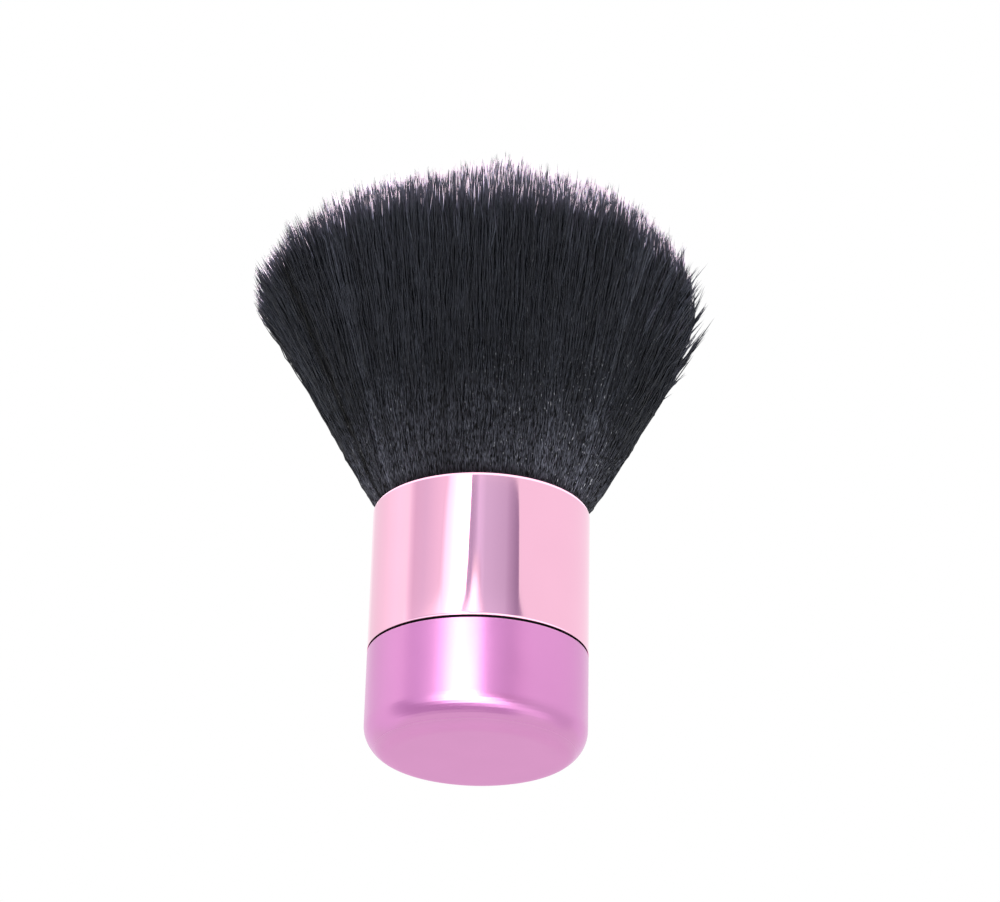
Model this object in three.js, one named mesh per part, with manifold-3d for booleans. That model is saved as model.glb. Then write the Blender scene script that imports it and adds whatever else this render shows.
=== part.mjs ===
// A short, thick-handled dust brush for nail work, standing on its flat base with the bristles up.
// Millimetres, +Z up. The origin is the centre of the flat base.
//
// Two aluminium shells, a closed base cap and an open ferrule, are glued over one moulded core.
// The core carries a steel slug low down and, above it, the tuft: bristles potted in resin
// inside a collar. The outside follows the real brush; the hidden sizes are typical ones.

import * as THREE from "three";
import { mergeGeometries, mergeVertices } from "three/addons/utils/BufferGeometryUtils.js";
import Module from "manifold-3d";

// ---- Driving dimensions ----

// Shells
const handleRadius = 15; // outside of the base cap and of the ferrule
const shellWall = 0.5; // drawn aluminium sheet
const capHeight = 14.3;
const capFloor = 0.6;
const capEdgeRadius = 4.2; // outer rounding between the cap's side and its base
const ferruleLength = 20.5;
const rimRadius = 0.3; // rounding on each trimmed edge of the two shells
const lipDepth = 0.4; // how far the ferrule's mouth is rolled in past its wall
const lipThickness = 0.5;

// Core, moulded in black plastic
const seamGap = 0.5; // dark line between the shells, where the core's flange shows
const flangeSetback = 0.3; // the flange stops this far inside the shells
const coreWall = 1.5;
const hubRadius = 3;
const ribThickness = 1.2;
const ribCount = 6;
const spigotHeight = 4.5; // what stands above the seam, inside the ferrule
const glueGrooveDepth = 0.5;
const glueGrooveHeight = 2.4;

// Ballast
const slugThickness = 6;
const slugChamfer = 0.5;
const padThickness = 1; // adhesive foam pad under the slug

// Tuft
const collarWall = 0.6;
const collarHeight = 8; // stands on the core's spigot and holds the root
const resinThickness = 3.5;
const backingThickness = 2.2; // potted root slice that the strands stand in
const bindingThickness = 0.4; // thread wound round the root
const sliceGap = 0.3; // between two root slices
const shoulderRadius = 32.2; // where the flared side meets the dome of tips
const shoulderHeight = 33.8; // above the ferrule's mouth
const domeRise = 16.4; // from the shoulder to the top of the dome
const domeFullness = 0.75; // exponent: 0.5 is an ellipse, 1 a parabola
const strandRows = 11; // rings of strands round the middle one
const strandsPerRow = 6; // each row has this many more strands than the one inside it
const strandPoint = 6; // height of a strand's tapered end
const lengthSpread = 1.5; // how much lower than the dome a strand may end
const rootFill = 0.36; // a strand's corner radius over the row pitch, in the root
const freeFill = 0.57; // the same from the mouth up, where the strands have puffed out

// Fits
const fitGap = 0.15; // glued or pushed-in fit, on the radius or between faces
const mouthClearance = 0.2; // bristles to the rolled lip

// Facets
const turns = 48; // round the shells and the core
const hiddenTurns = 24; // round what lies inside them
const rimSteps = 1; // a trimmed edge's arc gets twice this many
const capSteps = 3; // the same for the cap's arcs

// ---- Sizes that follow ----

const shellBore = handleRadius - shellWall;
const coreRadius = shellBore - fitGap;
const coreBore = coreRadius - coreWall;
const grooveRadius = coreRadius - glueGrooveDepth;
const seamTop = capHeight + seamGap;
const mouthHeight = seamTop + ferruleLength;
const lipBore = shellBore - lipDepth;
const spigotTop = seamTop + spigotHeight;

const flatBaseRadius = handleRadius - capEdgeRadius;
const pocketRadius = flatBaseRadius - fitGap;
const pocketBore = pocketRadius - coreWall;
const slugRadius = pocketBore - fitGap;
const padBottom = capFloor + fitGap;
const slugBottom = padBottom + padThickness;
const pocketRoof = slugBottom + slugThickness + fitGap;
const webTop = pocketRoof + coreWall;
const skirtBottom = capEdgeRadius + fitGap;
const capGlueHeight = (skirtBottom + capHeight) / 2;
const ferruleGlueHeight = (seamTop + spigotTop) / 2;

const collarRadius = shellBore - fitGap;
const collarBore = collarRadius - collarWall;
const resinTop = spigotTop + resinThickness;
const backingTop = resinTop + backingThickness;
const bindingRadius = collarBore - fitGap;
const bindingBore = bindingRadius - bindingThickness;
const backingRadius = bindingBore - fitGap;
const rootPitch = backingRadius / (strandRows + 0.5); // from row to row of strands, in the root
const mouthPitch = (lipBore - mouthClearance) / (strandRows + freeFill / 2);
const shoulderPitch = shoulderRadius / strandRows;

// ---- Materials ----

const satinPink = { name: "satin anodised aluminium", color: 0xdd93c9, roughness: 0.34, metalness: 1 };
const mirrorPink = { name: "polished anodised aluminium", color: 0xfbc0db, roughness: 0.08, metalness: 1 };
const blackPlastic = { name: "moulded ABS", color: 0x1a191b, roughness: 0.5, metalness: 0 };
const clearPlastic = { name: "natural polypropylene", color: 0xe6e3da, roughness: 0.45, metalness: 0 };
const zincSteel = { name: "zinc-plated steel", color: 0xb9bcc0, roughness: 0.35, metalness: 1 };
const greyFoam = { name: "grey foam", color: 0x8d8f92, roughness: 0.9, metalness: 0 };
const amberResin = { name: "cured resin", color: 0xc9a86a, roughness: 0.25, metalness: 0 };
const waxedThread = { name: "waxed thread", color: 0xd8cfb8, roughness: 0.8, metalness: 0 };
const glueFilm = { name: "cured glue", color: 0xd9d6cf, roughness: 0.4, metalness: 0 };
const blackFibre = { name: "nylon filament", color: 0x24252b, roughness: 0.45, metalness: 0 };

// ---- Making geometry ----

const wasm = await Module();
wasm.setup();

/** Turns a profile of radius and height round Z. The profile runs anticlockwise. */
function turned(path, facets, arcSteps = rimSteps) {
  const points = path.getPoints(arcSteps);
  const profile = points.filter((point, i) => i === 0 || point.distanceTo(points[i - 1]) > 1e-4);
  return new THREE.LatheGeometry(profile, facets).rotateX(Math.PI / 2);
}

/** A path through [radius, height] corners. */
function outline(corners) {
  return new THREE.Path(corners.map(([radius, height]) => new THREE.Vector2(radius, height)));
}

/** A plain ring of rectangular section, standing on height 0. */
function ring(bore, radius, height) {
  return turned(outline([[bore, 0], [radius, 0], [radius, height], [bore, height], [bore, 0]]), hiddenTurns);
}

/** A plain disc, standing on height 0. */
function disc(radius, height) {
  return turned(outline([[0, 0], [radius, 0], [radius, height], [0, height]]), hiddenTurns);
}

/** A closed geometry as a solid for joining and cutting. */
function solidOf(geometry) {
  const bare = new THREE.BufferGeometry().setAttribute("position", geometry.getAttribute("position"));
  bare.setIndex(geometry.index);
  const merged = mergeVertices(bare, 1e-3);
  const mesh = new wasm.Mesh({
    numProp: 3,
    vertProperties: new Float32Array(merged.attributes.position.array),
    triVerts: new Uint32Array(merged.index.array),
  });
  return new wasm.Manifold(mesh);
}

/** A solid as a geometry again. */
function geometryOf(solid) {
  const { vertProperties, triVerts } = solid.getMesh();
  const geometry = new THREE.BufferGeometry();
  geometry.setAttribute("position", new THREE.BufferAttribute(vertProperties, 3));
  geometry.setIndex(new THREE.BufferAttribute(triVerts, 1));
  return geometry;
}

/** One named piece of the brush, with its geometry's height 0 at a height of the brush. */
function piece(name, geometry, finish, height = 0) {
  const mesh = new THREE.Mesh(geometry, new THREE.MeshStandardMaterial(finish));
  mesh.name = name;
  mesh.position.z = height;
  return mesh;
}

// ---- Shells ----

/** Drawn cup with a flat base, a generous edge and a rounded, trimmed rim. */
function baseCap() {
  const innerEdge = capEdgeRadius - shellWall;
  const rimHeight = capHeight - rimRadius;
  const path = new THREE.Path();
  path.moveTo(0, 0);
  path.lineTo(flatBaseRadius, 0);
  path.absarc(flatBaseRadius, capEdgeRadius, capEdgeRadius, -Math.PI / 2, 0);
  path.lineTo(handleRadius, rimHeight);
  path.absarc(handleRadius - rimRadius, rimHeight, rimRadius, 0, Math.PI / 2);
  path.lineTo(shellBore, capHeight);
  path.lineTo(shellBore, capFloor + innerEdge);
  path.absarc(flatBaseRadius, capFloor + innerEdge, innerEdge, 0, -Math.PI / 2, true);
  path.lineTo(0, capFloor);
  return turned(path, turns, capSteps);
}

/** Open tube, its lower edge rounded and its mouth rolled inwards over the tuft. */
function ferrule() {
  const mouthRim = ferruleLength - rimRadius;
  const lipUnder = ferruleLength - lipThickness;
  const path = new THREE.Path();
  path.moveTo(shellBore, 0);
  path.lineTo(handleRadius - rimRadius, 0);
  path.absarc(handleRadius - rimRadius, rimRadius, rimRadius, -Math.PI / 2, 0);
  path.lineTo(handleRadius, mouthRim);
  path.absarc(handleRadius - rimRadius, mouthRim, rimRadius, 0, Math.PI / 2);
  path.lineTo(lipBore, ferruleLength);
  path.lineTo(lipBore, lipUnder);
  path.lineTo(shellBore, lipUnder);
  path.lineTo(shellBore, 0);
  return turned(path, turns);
}

// ---- Core, glue and ballast ----

/** Corners of a glue groove round the core, going up its wall. */
function glueGroove(middle) {
  const bottom = middle - glueGrooveHeight / 2;
  const top = middle + glueGrooveHeight / 2;
  return [[coreRadius, bottom], [grooveRadius, bottom], [grooveRadius, top], [coreRadius, top]];
}

/** Section of the core: slug pocket under a web, skirt, flange at the seam, spigot and hub. */
function coreSection() {
  const flangeRadius = handleRadius - flangeSetback;
  return outline([
    [0, pocketRoof], [pocketBore, pocketRoof], [pocketBore, padBottom], [pocketRadius, padBottom],
    [pocketRadius, pocketRoof], [coreBore, pocketRoof], [coreBore, skirtBottom], [coreRadius, skirtBottom],
    ...glueGroove(capGlueHeight), [coreRadius, capHeight], [flangeRadius, capHeight],
    [flangeRadius, seamTop], [coreRadius, seamTop], ...glueGroove(ferruleGlueHeight),
    [coreRadius, spigotTop], [coreBore, spigotTop], [coreBore, webTop], [hubRadius, webTop],
    [hubRadius, spigotTop], [0, spigotTop],
  ]);
}

/** The moulded core, its hub tied to its wall by radial ribs that stand on the web. */
function core() {
  const ribRoot = hubRadius / 2;
  const ribLength = (coreBore + grooveRadius) / 2 - ribRoot;
  const ribBottom = webTop - coreWall / 2;
  let solid = solidOf(turned(coreSection(), turns));
  for (let i = 0; i < ribCount; i += 1) {
    const rib = new THREE.BoxGeometry(ribLength, ribThickness, spigotTop - ribBottom);
    rib.translate(ribRoot + ribLength / 2, 0, (spigotTop + ribBottom) / 2);
    rib.rotateZ((2 * Math.PI * i) / ribCount);
    solid = solid.add(solidOf(rib));
  }
  return geometryOf(solid);
}

/** Glue that fills a groove of the core behind a shell. */
function glueBand() {
  return ring(grooveRadius + fitGap, coreRadius, glueGrooveHeight - 2 * fitGap);
}

/** Turned steel disc with chamfered edges. */
function slug() {
  const flat = slugRadius - slugChamfer;
  const section = outline([
    [0, 0], [flat, 0], [slugRadius, slugChamfer], [slugRadius, slugThickness - slugChamfer],
    [flat, slugThickness], [0, slugThickness],
  ]);
  return turned(section, hiddenTurns);
}

// ---- Tuft ----

/** A repeatable number from 0 to 1 for a strand. */
function noise(row, index) {
  const wave = Math.sin(row * 12.9898 + index * 78.233) * 43758.5453;
  return wave - Math.floor(wave);
}

/** Height of the dome of tips above the mouth, at a share of the shoulder's radius. */
function domeHeight(share) {
  return shoulderHeight + domeRise * (1 - share ** 2) ** domeFullness;
}

/** A closed three-sided strand through level sections, with its point at the tip. */
function strand(angle, sections, tip) {
  const outward = new THREE.Vector3(Math.cos(angle), Math.sin(angle), 0);
  const points = [];
  for (const { radius, height, corner } of sections) {
    for (let side = 0; side < 3; side += 1) {
      const turn = angle + Math.PI + (side * 2 * Math.PI) / 3;
      const centre = outward.clone().multiplyScalar(radius).setZ(height);
      points.push(centre.add(new THREE.Vector3(Math.cos(turn), Math.sin(turn), 0).multiplyScalar(corner)));
    }
  }
  points.push(outward.clone().multiplyScalar(tip.radius).setZ(tip.height));
  const index = [0, 2, 1];
  const last = 3 * (sections.length - 1);
  for (let side = 0; side < 3; side += 1) {
    const next = (side + 1) % 3;
    for (let low = 0; low < last; low += 3) {
      const high = low + 3;
      index.push(low + side, low + next, high + next, low + side, high + next, high + side);
    }
    index.push(last + side, last + next, last + 3);
  }
  return new THREE.BufferGeometry().setFromPoints(points).setIndex(index);
}

/** One strand of a row: upright in the root, then straight out along the flare to the dome. */
function strandOf(row, index, count) {
  const angle = (2 * Math.PI * index) / count + row * 2.4;
  const rise = domeHeight(row / strandRows);
  const reach = rise - lengthSpread * noise(row, index);
  const rooted = (height) => ({ radius: row * rootPitch, height, corner: rootFill * rootPitch });
  const free = (lift) => {
    const pitch = THREE.MathUtils.lerp(mouthPitch, shoulderPitch, lift / rise);
    return { radius: row * pitch, height: mouthHeight + lift, corner: freeFill * pitch };
  };
  const foot = rooted(backingTop - backingThickness / 2);
  return strand(angle, [foot, rooted(backingTop), free(0), free(reach - strandPoint)], free(reach));
}

/** The strands of some neighbouring rows, fused to their own slice of the potted root. */
function strandRing(firstRow, lastRow) {
  const strands = [];
  for (let row = firstRow; row <= lastRow; row += 1) {
    const count = Math.max(1, strandsPerRow * row);
    for (let index = 0; index < count; index += 1) strands.push(strandOf(row, index, count));
  }
  const edge = lastRow < strandRows ? (lastRow + 0.5) * rootPitch - sliceGap / 2 : backingRadius;
  const bore = (firstRow - 0.5) * rootPitch + sliceGap / 2;
  const slice = firstRow > 0 ? ring(bore, edge, backingThickness) : disc(edge, backingThickness);
  return geometryOf(solidOf(slice.translate(0, 0, resinTop)).add(solidOf(mergeGeometries(strands))));
}

// ---- Assembly ----

const collar = ring(collarBore, collarRadius, collarHeight);
const resin = disc(collarBore - fitGap, resinThickness);
const binding = ring(bindingBore, bindingRadius, backingThickness);
const glueRise = fitGap - glueGrooveHeight / 2; // from a groove's middle to the underside of its glue

const handle = new THREE.Group();
handle.add(
  piece("base_cap", baseCap(), satinPink),
  piece("ferrule", ferrule(), mirrorPink, seamTop),
  piece("handle_core", core(), blackPlastic),
  piece("cap_glue_band", glueBand(), glueFilm, capGlueHeight + glueRise),
  piece("ferrule_glue_band", glueBand(), glueFilm, ferruleGlueHeight + glueRise),
  piece("ballast_pad", disc(slugRadius, padThickness), greyFoam, padBottom),
  piece("ballast_slug", slug(), zincSteel, slugBottom),
);

const tuft = new THREE.Group();
tuft.add(
  piece("tuft_collar", collar, clearPlastic, spigotTop),
  piece("root_resin", resin, amberResin, spigotTop),
  piece("root_binding", binding, waxedThread, resinTop),
  piece("bristles_middle", strandRing(0, 5), blackFibre),
  piece("bristles_inner_ring", strandRing(6, 7), blackFibre),
  piece("bristles_outer_ring", strandRing(8, 9), blackFibre),
  piece("bristles_edge_ring", strandRing(10, strandRows), blackFibre),
);

const brush = new THREE.Group();
brush.add(handle, tuft);

export default brush;
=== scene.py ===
"""Looks of a short, thick-handled dust brush for nail work.

Everything is in metres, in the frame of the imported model: +Z up, origin at the centre of the
flat base. The handle's two shells and the tuft are modelled here, over the solids that hold them.
"""

from __future__ import annotations

import logging
import math
from dataclasses import dataclass, field
from enum import Enum

import bmesh
import bpy
import numpy as np
from bmesh.types import BMEdge, BMesh, BMVert
from bpy.types import Material, NodeSocket, NodeTree, Object, World
from mathutils import Matrix, Vector
from numpy import ndarray
from numpy.random import Generator


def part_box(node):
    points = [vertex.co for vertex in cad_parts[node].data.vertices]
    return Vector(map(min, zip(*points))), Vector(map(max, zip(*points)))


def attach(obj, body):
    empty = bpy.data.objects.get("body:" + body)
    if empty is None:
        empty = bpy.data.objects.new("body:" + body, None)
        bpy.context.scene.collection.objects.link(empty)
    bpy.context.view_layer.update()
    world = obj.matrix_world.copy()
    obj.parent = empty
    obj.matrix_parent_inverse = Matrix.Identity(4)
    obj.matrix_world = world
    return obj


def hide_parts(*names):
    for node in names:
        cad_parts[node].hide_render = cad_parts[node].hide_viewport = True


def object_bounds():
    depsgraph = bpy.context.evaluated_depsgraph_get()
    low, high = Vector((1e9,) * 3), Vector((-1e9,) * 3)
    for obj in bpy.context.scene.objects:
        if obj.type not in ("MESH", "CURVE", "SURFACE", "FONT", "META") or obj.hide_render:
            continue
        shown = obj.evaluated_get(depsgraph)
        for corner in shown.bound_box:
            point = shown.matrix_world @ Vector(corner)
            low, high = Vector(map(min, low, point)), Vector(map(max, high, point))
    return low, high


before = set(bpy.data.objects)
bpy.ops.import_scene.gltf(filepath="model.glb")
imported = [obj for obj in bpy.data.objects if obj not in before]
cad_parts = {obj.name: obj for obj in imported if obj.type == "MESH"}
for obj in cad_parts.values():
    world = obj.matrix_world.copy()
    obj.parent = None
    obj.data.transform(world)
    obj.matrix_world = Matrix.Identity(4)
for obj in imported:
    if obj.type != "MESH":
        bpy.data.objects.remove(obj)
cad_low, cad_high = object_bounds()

MM = 0.001
BODY = "root"
FULL_TURN = 2.0 * math.pi
FULL_SECTOR = (0.0, 360.0)
HOLD = 0.06 * MM  # a flat wall keeps its own shading up to this far from a rounded corner
FLAT = 4.0 * HOLD  # an edge longer than this is a flat wall
SAME_PLACE = 1e-7
NOISE_SPAN = (0.3, 0.7)  # most of a noise's values lie between these
MOTTLE_SPAN = (0.35, 0.65)  # where a mottle is all in its one shade and all in the other
STRAND_MAP = "OFBake"
STRAND_FACTS = "strand"
TONE_MAP = "tones"

Colour = tuple[float, float, float, float]

log = logging.getLogger("brush")


# ---- Camera ----


@dataclass(frozen=True)
class PhotoCamera:
    """The camera, low in front of the brush and looking up at its base."""

    lens: float = 97.63
    sensor: float = 36.0
    distance: float = 375.0 * MM
    pivot_height: float = 33.0 * MM
    elevation: float = -23.45
    aim_right: float = 0.0061
    aim_up: float = 0.0298
    roll: float = 1.56
    clip: tuple[float, float] = (0.01, 20.0)

    def build(self) -> Object:
        """Makes the camera and gives it to the scene.

        Returns:
            The camera's object.
        """
        tilt = math.radians(-self.elevation)
        ahead = Vector((0.0, math.cos(tilt), math.sin(tilt)))
        side = Vector((1.0, 0.0, 0.0))
        above = side.cross(ahead)
        look = (ahead + self.aim_right * side + self.aim_up * above).normalized()
        right = look.cross(above).normalized()
        spot = Vector((0.0, 0.0, self.pivot_height)) - self.distance * ahead
        turn = Matrix((right, right.cross(look), -look)).transposed().to_4x4()
        roll = Matrix.Rotation(math.radians(self.roll), 4, "Z")
        camera = bpy.data.cameras.new("photo_camera")
        camera.lens = self.lens
        camera.sensor_width = self.sensor
        camera.clip_start, camera.clip_end = self.clip
        holder = add_object("photo_camera", camera)
        holder.matrix_world = Matrix.Translation(spot) @ turn @ roll
        bpy.context.scene.camera = holder
        return holder


# ---- Helpers for meshes and materials ----


def linear(colour: str, level: float = 1.0) -> Colour:
    """Turns an sRGB hex colour linear.

    Args:
        colour: six hex digits, such as "dd93c9".
        level: what its channels are multiplied by.

    Returns:
        Linear red, green, blue and alpha.
    """
    channels = [int(colour[i : i + 2], 16) / 255.0 for i in (0, 2, 4)]
    light = (c / 12.92 if c <= 0.04045 else ((c + 0.055) / 1.055) ** 2.4 for c in channels)
    red, green, blue = (level * channel for channel in light)
    return red, green, blue, 1.0


def empty_tree(owner: Material | World) -> NodeTree:
    """Empties the node tree of a material or a world.

    Args:
        owner: the material or the world.

    Returns:
        Its tree.
    """
    owner.use_nodes = True
    owner.node_tree.nodes.clear()
    return owner.node_tree


def add_node(
    tree: NodeTree,
    kind: str,
    inputs: dict[str | int, object] | tuple[object, ...] = (),
    stops: list[tuple[float, Colour]] | None = None,
    **settings: object,
) -> bpy.types.bpy_prop_collection:
    """Adds a shader node with its settings, values, links and colour stops.

    Args:
        tree: the node tree that gets it.
        kind: the node's type name, without "ShaderNode" in front.
        inputs: a value or an output socket for each input, by name or in order.
        stops: position and linear colour of each stop of a ramp, in order.
        settings: properties of the node.

    Returns:
        The new node's outputs.
    """
    node = tree.nodes.new(f"ShaderNode{kind}")
    for name, value in settings.items():
        setattr(node, name, value)
    for name, value in inputs.items() if isinstance(inputs, dict) else enumerate(inputs):
        if isinstance(value, NodeSocket):
            tree.links.new(value, node.inputs[name])
        else:
            node.inputs[name].default_value = value
    if stops:
        elements = node.color_ramp.elements
        while len(elements) < len(stops):
            elements.new(1.0)
        for element, (position, colour) in zip(elements, stops):
            element.position = position
            element.color = colour
    return node.outputs


def add_object(name: str, data: bpy.types.ID) -> Object:
    """Puts an object in the scene.

    Args:
        name: the object's name.
        data: its mesh, camera or light.

    Returns:
        The object.
    """
    holder = bpy.data.objects.new(name, data)
    bpy.context.collection.objects.link(holder)
    return holder


def object_from(name: str, bm: BMesh) -> Object:
    """Turns a bmesh into a smooth-shaded object at the origin.

    Args:
        name: the object's name.
        bm: the bmesh, which is freed.

    Returns:
        The object.
    """
    mesh = bpy.data.meshes.new(name)
    bm.to_mesh(mesh)
    bm.free()
    mesh.shade_smooth()
    return add_object(name, mesh)


def spin_round(bm: BMesh, steps: int) -> None:
    """Turns all that a bmesh holds once round Z.

    Args:
        bm: the bmesh, which holds a section.
        steps: segments round the axis.
    """
    bmesh.ops.spin(
        bm,
        geom=bm.verts[:] + bm.edges[:],
        cent=(0.0, 0.0, 0.0),
        axis=(0.0, 0.0, 1.0),
        angle=FULL_TURN,
        steps=steps,
        use_merge=True,
    )


@dataclass(frozen=True)
class Corner:
    """A corner of a turned section: its place, and the radius that rounds it."""

    radius: float
    height: float
    rounding: float = 0.0


def turned(name: str, corners: list[Corner], closed: bool, arc: int, steps: int) -> Object:
    """Turns a section round Z.

    Args:
        name: the piece's name.
        corners: the section's corners, in order.
        closed: whether the last corner joins the first one.
        arc: segments of a rounded corner.
        steps: segments round the axis.

    Returns:
        The piece.
    """
    bm = bmesh.new()
    points = [bm.verts.new((corner.radius, 0.0, corner.height)) for corner in corners]
    pairs = list(zip(points, points[1:] + points[:1]))
    for start, end in pairs if closed else pairs[:-1]:
        bm.edges.new((start, end))
    for point, corner in zip(points, corners):
        if corner.rounding > 0.0:
            bmesh.ops.bevel(
                bm,
                geom=[point],
                offset=corner.rounding,
                offset_type="OFFSET",
                segments=arc,
                profile=0.5,
                affect="VERTICES",
                material=-1,
            )
    for edge in [edge for edge in bm.edges if edge.calc_length() > FLAT]:
        for end in list(edge.verts):
            bmesh.utils.edge_split(edge, end, HOLD / edge.calc_length())
    spin_round(bm, steps)
    bmesh.ops.remove_doubles(bm, verts=bm.verts[:], dist=SAME_PLACE)
    bmesh.ops.recalc_face_normals(bm, faces=bm.faces[:])
    return object_from(name, bm)


def place(piece: Object, slot: str, *nodes: str) -> None:
    """Makes a piece ride on the brush.

    Args:
        piece: the piece.
        slot: its slot in the record; not used.
        nodes: the nodes that it takes the place of.
    """
    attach(piece, BODY)
    if nodes:
        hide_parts(*nodes)


# ---- Finishes ----


@dataclass(frozen=True)
class Finish:
    """A finish, named for the real material that it shows."""

    name: str

    def shader(self, tree: NodeTree) -> NodeSocket:
        """Adds the finish's own nodes to a tree and gives the shader's output."""
        raise NotImplementedError

    def material(self) -> Material:
        """Makes the material out of the finish's nodes.

        Returns:
            The material.
        """
        material = bpy.data.materials.new(self.name)
        tree = empty_tree(material)
        add_node(tree, "OutputMaterial", (self.shader(tree),))
        return material


@dataclass(frozen=True)
class AnodisedAluminium(Finish):
    """Dyed anodised aluminium: a coloured metal whose grain depends on how it was finished.

    The drawn sheet wobbles slightly, which also leaves faint patches in its roughness and its dye.
    """

    colour: str
    roughness: float
    grain: float
    grain_size: float
    wobble: float = 0.0
    wobble_size: float = 6.0 * MM
    patchiness: float = 0.03
    thin_dye: float = 0.985
    matte_edge: tuple[float, float] | None = None
    matte_roughness: float = 0.5

    def shader(self, tree: NodeTree) -> NodeSocket:
        """Adds a metal tinted by its dye, with its grain, its wobble and its patches.

        Args:
            tree: the node tree that gets it.

        Returns:
            The shader's output.
        """
        place_on = add_node(tree, "TexCoord")["Object"]
        grain, wobble = (
            add_node(tree, "TexNoise", {"Vector": place_on, "Scale": 1.0 / size, "Detail": detail})["Fac"]
            for size, detail in ((self.grain_size, 2.0), (self.wobble_size, 1.0))
        )
        normal = add_node(tree, "Bump", {"Height": wobble, "Distance": self.wobble, "Strength": 1.0})[0]
        relief = {"Height": grain, "Distance": self.grain, "Strength": 1.0, "Normal": normal}
        normal = add_node(tree, "Bump", relief)[0]
        smoothest, roughest = (self.roughness * (1.0 + side * self.patchiness) for side in (-1.0, 1.0))
        roughness = add_node(tree, "MapRange", (wobble, *NOISE_SPAN, smoothest, roughest))[0]
        if self.matte_edge:
            height = add_node(tree, "SeparateXYZ", (place_on,))["Z"]
            edge = (height, *self.matte_edge, self.matte_roughness, roughness)
            roughness = add_node(tree, "MapRange", edge, interpolation_type="SMOOTHSTEP")[0]
        dyes = (linear(self.colour, level) for level in (self.thin_dye, 1.0))
        colour = add_node(tree, "ValToRGB", (wobble,), list(zip(MOTTLE_SPAN, dyes)))[0]
        metal = {"Base Color": colour, "Metallic": 1.0, "Roughness": roughness, "Normal": normal}
        return add_node(tree, "BsdfPrincipled", metal)[0]


@dataclass(frozen=True)
class PlainFinish(Finish):
    """A moulded, cast or spun material of one colour, with a fine mottle."""

    colour: str
    shade: str
    roughness: float
    metallic: float = 0.0
    mottle_size: float = 1.0 * MM
    relief: float = 0.01 * MM
    specular: float = 0.5

    def shader(self, tree: NodeTree) -> NodeSocket:
        """Adds a surface whose colour is mottled between two shades.

        Args:
            tree: the node tree that gets it.

        Returns:
            The shader's output.
        """
        place_on = add_node(tree, "TexCoord")["Object"]
        spots = {"Vector": place_on, "Scale": 1.0 / self.mottle_size, "Detail": 3.0}
        mottle = add_node(tree, "TexNoise", spots)["Fac"]
        stops = list(zip(MOTTLE_SPAN, (linear(self.shade), linear(self.colour))))
        relief = {"Height": mottle, "Distance": self.relief, "Strength": 1.0}
        surface = {
            "Base Color": add_node(tree, "ValToRGB", (mottle,), stops)[0],
            "Metallic": self.metallic,
            "Roughness": self.roughness,
            "Specular IOR Level": self.specular,
            "Normal": add_node(tree, "Bump", relief)[0],
        }
        return add_node(tree, "BsdfPrincipled", surface)[0]


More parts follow.
